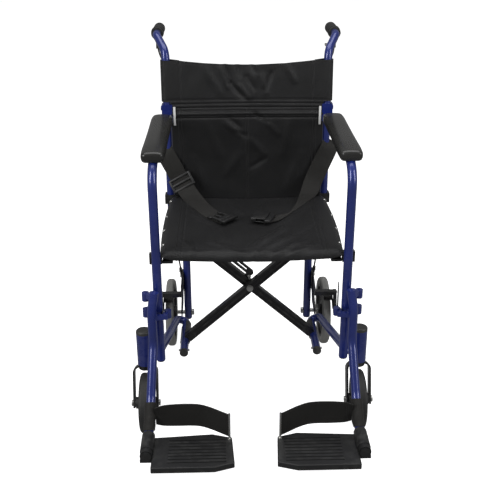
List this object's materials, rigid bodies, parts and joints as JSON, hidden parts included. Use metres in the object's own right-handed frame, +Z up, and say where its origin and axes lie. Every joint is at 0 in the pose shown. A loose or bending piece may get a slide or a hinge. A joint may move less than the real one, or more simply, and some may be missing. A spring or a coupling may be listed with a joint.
{
  "type": "transport wheelchair",
  "caption": "Folding attendant-pushed wheelchair: bent-tube side frames, cross brace, cloth seat and back, swing-away footrests, caster wheels and hand brakes.",
  "frame": {"origin": "on the floor, under the centre of the outline", "axes": "+Z up; the chair faces -Y; +X to the seated person's left"},
  "size_m": [0.615, 0.894, 0.93],
  "materials": {
    "blue_paint": "metallic gloss enamel",
    "black_metal": "semi-gloss powder coat",
    "grey_plastic": "moulded, satin",
    "black_plastic": "moulded, satin",
    "plate_plastic": "ribbed moulding",
    "rim_plastic": "moulded, satin",
    "pad_skin": "smooth self-skinned foam",
    "grip_rubber": "moulded rubber",
    "cable_sheath": "smooth sheath",
    "zinc": "bright zinc plate",
    "lever_metal": "polished",
    "grey_tyre": "solid grey tyre",
    "dark_tyre": "solid dark tyre",
    "nylon": "woven nylon",
    "webbing": "ribbed webbing"
  },
  "bodies": {
    "right_frame": {"right_side_frame": "blue_paint", "right_end_plugs": "grey_plastic", "right_arm_pad": "pad_skin", "right_seat_saddles": "black_plastic", "right_back_hinge": "blue_paint", "right_brake_cable": "cable_sheath", "right_brake_bracket": "black_metal", "right_frame_bolts": "zinc", "right_rear_axle": "zinc", "right_lap_belt": "webbing", "lower_back": "nylon"},
    "right_back": {"right_back_cane": "blue_paint", "right_push_grip": "grip_rubber", "right_brake_housing": "black_plastic", "upper_back": "nylon"},
    "right_hand_lever": {"right_brake_lever": "lever_metal"},
    "right_brake_shoe": {"right_brake_arm": "black_metal"},
    "right_rear_wheel": {"right_rear_rim": "rim_plastic", "right_rear_tyre": "grey_tyre"},
    "right_fork": {"right_caster_fork": "black_metal", "right_caster_axle": "zinc"},
    "right_caster_wheel": {"right_caster_rim": "rim_plastic", "right_caster_tyre": "dark_tyre"},
    "right_hanger_body": {"right_hanger": "blue_paint", "right_heel_loop": "webbing"},
    "right_plate": {"right_footplate": "plate_plastic", "right_heel_post": "zinc"},
    "left_frame": {"left_side_frame": "blue_paint", "left_end_plugs": "grey_plastic", "left_arm_pad": "pad_skin", "left_seat_saddles": "black_plastic", "left_back_hinge": "blue_paint", "left_brake_cable": "cable_sheath", "left_brake_bracket": "black_metal", "left_frame_bolts": "zinc", "left_rear_axle": "zinc", "left_lap_belt": "webbing"},
    "left_back": {"left_back_cane": "blue_paint", "left_push_grip": "grip_rubber", "left_brake_housing": "black_plastic"},
    "left_hand_lever": {"left_brake_lever": "lever_metal"},
    "left_brake_shoe": {"left_brake_arm": "black_metal"},
    "left_rear_wheel": {"left_rear_rim": "rim_plastic", "left_rear_tyre": "grey_tyre"},
    "left_fork": {"left_caster_fork": "black_metal", "left_caster_axle": "zinc"},
    "left_caster_wheel": {"left_caster_rim": "rim_plastic", "left_caster_tyre": "dark_tyre"},
    "left_hanger_body": {"left_hanger": "blue_paint", "left_heel_loop": "webbing"},
    "left_plate": {"left_footplate": "plate_plastic", "left_heel_post": "zinc"},
    "front_cross": {"front_cross_arm": "black_metal", "centre_bolt": "zinc", "left_seat_rail": "black_metal"},
    "rear_cross": {"rear_cross_arm": "black_metal", "folding_stay": "black_metal", "right_seat_rail": "black_metal"},
    "seat": {"seat_sling": "nylon", "seat_screws": "zinc"}
  },
  "joints": [
    {"name": "frame_fold", "type": "hinge", "parent": "right_frame", "child": "front_cross", "pos_m": [-0.18, 0.043, 0.13], "axis": [0, -1, 0], "range_deg": [0, 33], "deforming": ["seat_sling", "seat_screws", "upper_back", "lower_back", "right_lap_belt", "left_lap_belt", "right_heel_loop", "left_heel_loop"]},
    {"name": "cross_pivot", "type": "hinge", "parent": "front_cross", "child": "rear_cross", "pos_m": [0, 0.043, 0.29063], "axis": [0, -1, 0], "range_deg": [-66, 0]},
    {"name": "left_rail_pivot", "type": "hinge", "parent": "rear_cross", "child": "left_frame", "pos_m": [0.18, 0.043, 0.13], "axis": [0, -1, 0], "range_deg": [0, 33]},
    {"name": "seat_level", "type": "hinge", "parent": "rear_cross", "child": "seat", "pos_m": [-0.201, 0.043, 0.47], "axis": [0, -1, 0], "range_deg": [0, 33]},
    {"name": "right_back_fold", "type": "hinge", "parent": "right_frame", "child": "right_back", "pos_m": [-0.218, 0.253, 0.728], "axis": [-1, 0, 0], "range_deg": [0, 100], "deforming": ["right_brake_cable", "upper_back"]},
    {"name": "right_hand_brake", "type": "hinge", "parent": "right_back", "child": "right_hand_lever", "pos_m": [-0.232, 0.3517, 0.88], "axis": [1, 0, 0], "range_deg": [0, 16], "stiffness_Nm_per_rad": 0.3, "springref_deg": -11.46},
    {"name": "right_brake_swing", "type": "hinge", "parent": "right_frame", "child": "right_brake_shoe", "pos_m": [-0.2505, 0.1506, 0.16468], "axis": [-1, 0, 0], "range_deg": [0, 7.2]},
    {"name": "right_rear_roll", "type": "hinge", "parent": "right_frame", "child": "right_rear_wheel", "pos_m": [-0.23, 0.248, 0.1015], "axis": [1, 0, 0], "continuous": true},
    {"name": "right_caster_swivel", "type": "hinge", "parent": "right_frame", "child": "right_fork", "pos_m": [-0.271, -0.155, 0.21], "axis": [0, 0, 1], "continuous": true},
    {"name": "right_caster_roll", "type": "hinge", "parent": "right_fork", "child": "right_caster_wheel", "pos_m": [-0.271, -0.188, 0.076], "axis": [1, 0, 0], "continuous": true},
    {"name": "right_hanger_swing", "type": "hinge", "parent": "right_frame", "child": "right_hanger_body", "pos_m": [-0.257, -0.186, 0.355], "axis": [0, 0, -1], "range_deg": [0, 90]},
    {"name": "right_plate_flip", "type": "hinge", "parent": "right_hanger_body", "child": "right_plate", "pos_m": [-0.252, -0.375, 0.084], "axis": [0, -1, 0], "range_deg": [0, 90]},
    {"name": "left_back_fold", "type": "hinge", "parent": "left_frame", "child": "left_back", "pos_m": [0.218, 0.253, 0.728], "axis": [-1, 0, 0], "range_deg": [0, 100], "deforming": ["left_brake_cable"]},
    {"name": "left_hand_brake", "type": "hinge", "parent": "left_back", "child": "left_hand_lever", "pos_m": [0.232, 0.3517, 0.88], "axis": [1, 0, 0], "range_deg": [0, 16], "stiffness_Nm_per_rad": 0.3, "springref_deg": -11.46},
    {"name": "left_brake_swing", "type": "hinge", "parent": "left_frame", "child": "left_brake_shoe", "pos_m": [0.2505, 0.1506, 0.16468], "axis": [-1, 0, 0], "range_deg": [0, 7.2]},
    {"name": "left_rear_roll", "type": "hinge", "parent": "left_frame", "child": "left_rear_wheel", "pos_m": [0.23, 0.248, 0.1015], "axis": [1, 0, 0], "continuous": true},
    {"name": "left_caster_swivel", "type": "hinge", "parent": "left_frame", "child": "left_fork", "pos_m": [0.271, -0.155, 0.21], "axis": [0, 0, 1], "continuous": true},
    {"name": "left_caster_roll", "type": "hinge", "parent": "left_fork", "child": "left_caster_wheel", "pos_m": [0.271, -0.188, 0.076], "axis": [1, 0, 0], "continuous": true},
    {"name": "left_hanger_swing", "type": "hinge", "parent": "left_frame", "child": "left_hanger_body", "pos_m": [0.257, -0.186, 0.355], "axis": [0, 0, 1], "range_deg": [0, 90]},
    {"name": "left_plate_flip", "type": "hinge", "parent": "left_hanger_body", "child": "left_plate", "pos_m": [0.252, -0.375, 0.084], "axis": [0, 1, 0], "range_deg": [0, 90]}
  ],
  "couplings": [
    {"joint": "cross_pivot", "follows": "frame_fold", "ratio": -2},
    {"joint": "left_rail_pivot", "follows": "frame_fold", "ratio": 1},
    {"joint": "seat_level", "follows": "frame_fold", "ratio": 1},
    {"joint": "right_brake_swing", "follows": "right_hand_brake", "ratio": 0.45},
    {"joint": "right_plate_flip", "follows": "frame_fold", "ratio": 2.7},
    {"joint": "left_brake_swing", "follows": "left_hand_brake", "ratio": 0.45},
    {"joint": "left_plate_flip", "follows": "frame_fold", "ratio": 2.7},
    {"joint": "left_back_fold", "follows": "right_back_fold", "ratio": 1}
  ]
}
